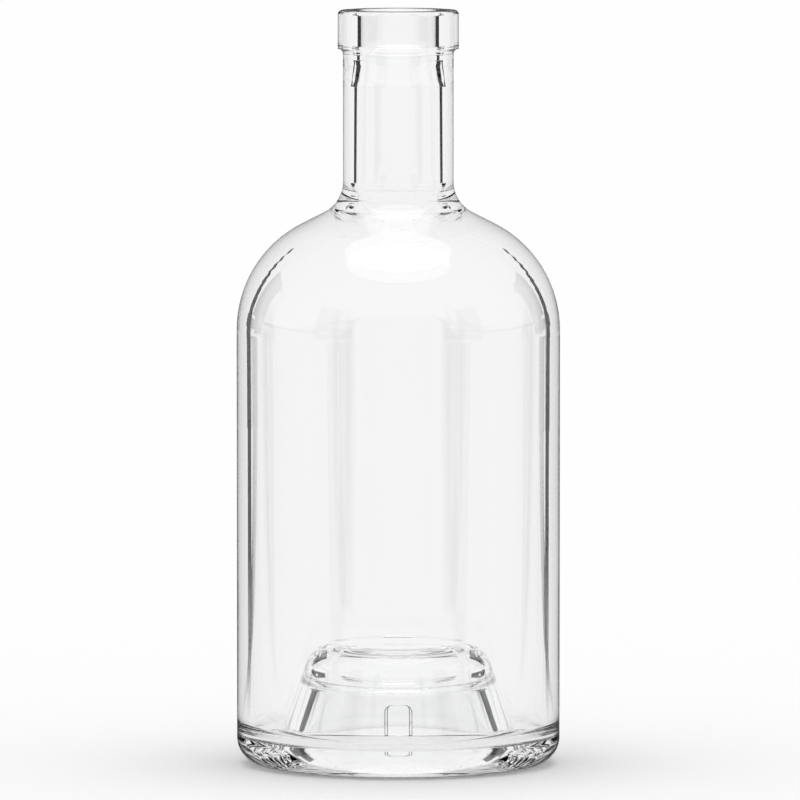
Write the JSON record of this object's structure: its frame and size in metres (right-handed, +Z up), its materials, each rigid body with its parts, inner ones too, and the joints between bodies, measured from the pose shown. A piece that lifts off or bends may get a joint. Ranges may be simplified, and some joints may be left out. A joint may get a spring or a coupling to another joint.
{
  "type": "glass bottle",
  "caption": "Empty clear glass spirits bottle with a ring finish for a stopper, a straight neck, round shoulders and a deep flat-topped punt in its thick base.",
  "frame": {"origin": "centre of the standing ring, on the plane the bottle stands on", "axes": "+Z up along the bottle's axis, +Y towards the side of the punt's hollow that has the centring notch"},
  "size_m": [0.0926, 0.0926, 0.216],
  "materials": {
    "clear_glass": "clear polished flint glass"
  },
  "bodies": {
    "root": {"bottle": "clear_glass"}
  },
  "joints": []
}
